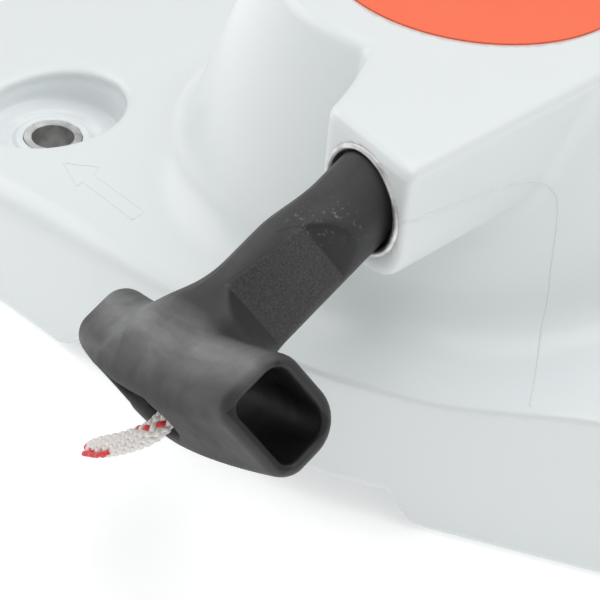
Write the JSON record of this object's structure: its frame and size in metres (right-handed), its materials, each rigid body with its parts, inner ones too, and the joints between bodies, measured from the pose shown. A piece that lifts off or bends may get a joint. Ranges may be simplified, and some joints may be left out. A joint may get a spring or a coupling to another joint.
{
  "type": "recoil starter",
  "caption": "Recoil starter for a small engine: crowned light-grey housing with a domed hub, rope rotor, rewind spring and pawls inside, and a black T-shaped pull handle.",
  "frame": {"origin": "rotor axis on the mounting plane of the housing's rim", "axes": "+Z along the rotor axis away from the engine, -Y the way the rope leaves, +X completes the right-handed set"},
  "size_m": [0.171, 0.1524, 0.0574],
  "materials": {
    "housing_plastic": "glossy light grey",
    "badge_orange": "glossy orange",
    "bright_steel": "bright zinc plate",
    "dark_steel": "oiled steel",
    "plate_steel": "plain sheet steel",
    "spring_steel": "blued spring strip",
    "inner_plastic": "black nylon",
    "handle_plastic": "satin black",
    "rope": "braided white with a red tracer"
  },
  "bodies": {
    "housing": {"housing": "housing_plastic", "centre_badge": "badge_orange", "rope_bushing": "bright_steel", "screw_sleeves": "bright_steel", "axle_post": "dark_steel", "spring_case": "inner_plastic", "spring_cover": "plate_steel", "cover_screws": "plate_steel", "rewind_spring": "spring_steel", "retaining_washer": "plate_steel", "centre_screw": "dark_steel", "rope_lead": "rope"},
    "rotor": {"rope_rotor": "inner_plastic", "rope_winding": "rope", "rope_anchor": "rope", "pawl_pins": "bright_steel", "friction_plate": "plate_steel"},
    "pawl_a": {"pawl_a": "dark_steel"},
    "pawl_b": {"pawl_b": "dark_steel"},
    "handle": {"pull_handle": "handle_plastic", "rope_tail": "rope", "rope_knot": "rope"}
  },
  "joints": [
    {"name": "handle_pull", "type": "slide", "parent": "housing", "child": "handle", "axis": [0.1085, -0.8713, -0.4787], "range_m": [0, 0.58], "stiffness_N_per_m": 10, "springref_m": -0.6, "deforming": ["rope_lead"]},
    {"name": "rotor_spin", "type": "hinge", "parent": "housing", "child": "rotor", "pos_m": [0, 0, 0.0437], "axis": [0, 0, -1], "range_deg": [0, 1730], "deforming": ["rewind_spring"]},
    {"name": "pawl_a_swing", "type": "hinge", "parent": "rotor", "child": "pawl_a", "pos_m": [0.019, 0, 0.0388], "axis": [0, 0, 1], "range_deg": [0, 28]},
    {"name": "pawl_b_swing", "type": "hinge", "parent": "rotor", "child": "pawl_b", "pos_m": [-0.019, 0, 0.0388], "axis": [0, 0, 1], "range_deg": [0, 28]}
  ],
  "couplings": [
    {"joint": "rotor_spin", "follows": "handle_pull", "rad_per_m": 51.948}
  ]
}
